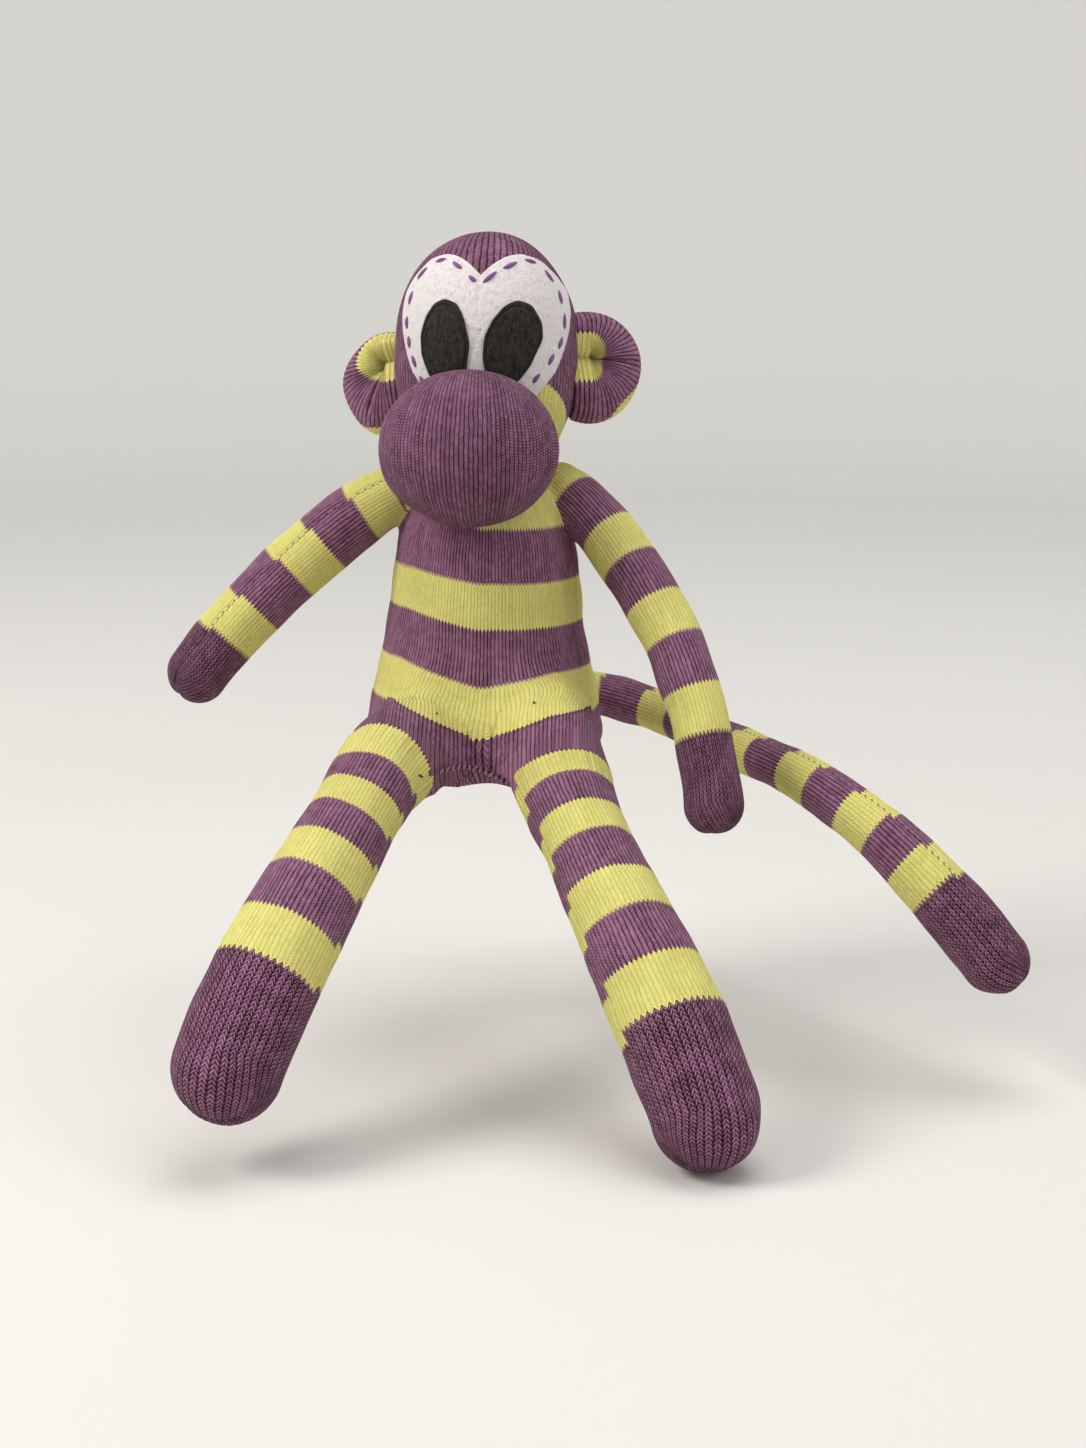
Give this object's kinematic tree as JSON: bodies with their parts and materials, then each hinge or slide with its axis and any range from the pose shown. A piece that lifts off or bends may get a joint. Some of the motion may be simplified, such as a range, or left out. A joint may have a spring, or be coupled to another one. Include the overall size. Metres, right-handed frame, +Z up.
{
  "type": "sock monkey doll",
  "caption": "Stuffed knitted monkey doll seated with long arms, legs and tail, folded ears, a round muzzle and felt eyes.",
  "frame": {"origin": "centre of the flat underside of the body, on the surface that the doll sits on", "axes": "+Z up along the body, -Y the way the doll looks, +X towards the doll's own left hand"},
  "size_m": [0.4456, 0.3421, 0.4255],
  "materials": {
    "striped_knit": "heathered plum and lime striped cotton knit",
    "plum_knit": "heathered plum cotton knit",
    "stuffing": "loose polyester filling",
    "white_felt": "matte felt",
    "black_felt": "matte felt"
  },
  "bodies": {
    "body": {"torso_sock": "striped_knit", "torso_stuffing": "stuffing"},
    "head": {"head_sock": "striped_knit", "head_stuffing": "stuffing", "muzzle_sock": "plum_knit", "muzzle_stuffing": "stuffing", "face_patch": "white_felt", "pupil_left": "black_felt", "pupil_right": "black_felt"},
    "ear_left": {"ear_left_sock": "striped_knit", "ear_left_stuffing": "stuffing"},
    "ear_right": {"ear_right_sock": "striped_knit", "ear_right_stuffing": "stuffing"},
    "arm_left": {"arm_left_sock": "striped_knit", "arm_left_stuffing": "stuffing"},
    "arm_right": {"arm_right_sock": "striped_knit", "arm_right_stuffing": "stuffing"},
    "leg_left": {"leg_left_sock": "striped_knit", "leg_left_stuffing": "stuffing"},
    "leg_right": {"leg_right_sock": "striped_knit", "leg_right_stuffing": "stuffing"},
    "tail": {"tail_sock": "striped_knit", "tail_stuffing": "stuffing"}
  },
  "joints": [
    {"name": "head_turn", "type": "hinge", "parent": "body", "child": "head", "pos_m": [0.002, 0, 0.16], "axis": [0, 0, 1], "range_deg": [-20, 20]},
    {"name": "ear_left_fold", "type": "hinge", "parent": "head", "child": "ear_left", "pos_m": [0.05738, 0.00437, 0.197], "axis": [0, 0, 1], "range_deg": [-15, 15]},
    {"name": "ear_right_fold", "type": "hinge", "parent": "head", "child": "ear_right", "pos_m": [-0.04815, 0.02042, 0.188], "axis": [0, 0, 1], "range_deg": [-15, 15]},
    {"name": "arm_left_swing", "type": "hinge", "parent": "body", "child": "arm_left", "pos_m": [0.04729, -0.00317, 0.149], "axis": [0, -1, 0], "range_deg": [0, 60]},
    {"name": "arm_right_swing", "type": "hinge", "parent": "body", "child": "arm_right", "pos_m": [-0.04421, -0.00161, 0.148], "axis": [0, 1, 0], "range_deg": [0, 60]},
    {"name": "leg_left_swing", "type": "hinge", "parent": "body", "child": "leg_left", "pos_m": [0.03734, -0.06817, 0.022], "axis": [-1, 0, 0], "range_deg": [-20, 30]},
    {"name": "leg_right_swing", "type": "hinge", "parent": "body", "child": "leg_right", "pos_m": [-0.03708, -0.06817, 0.022], "axis": [-1, 0, 0], "range_deg": [-20, 30]},
    {"name": "tail_swing", "type": "hinge", "parent": "body", "child": "tail", "pos_m": [0.02969, 0.05653, 0.026], "axis": [0, 0, 1], "range_deg": [0, 45]}
  ]
}
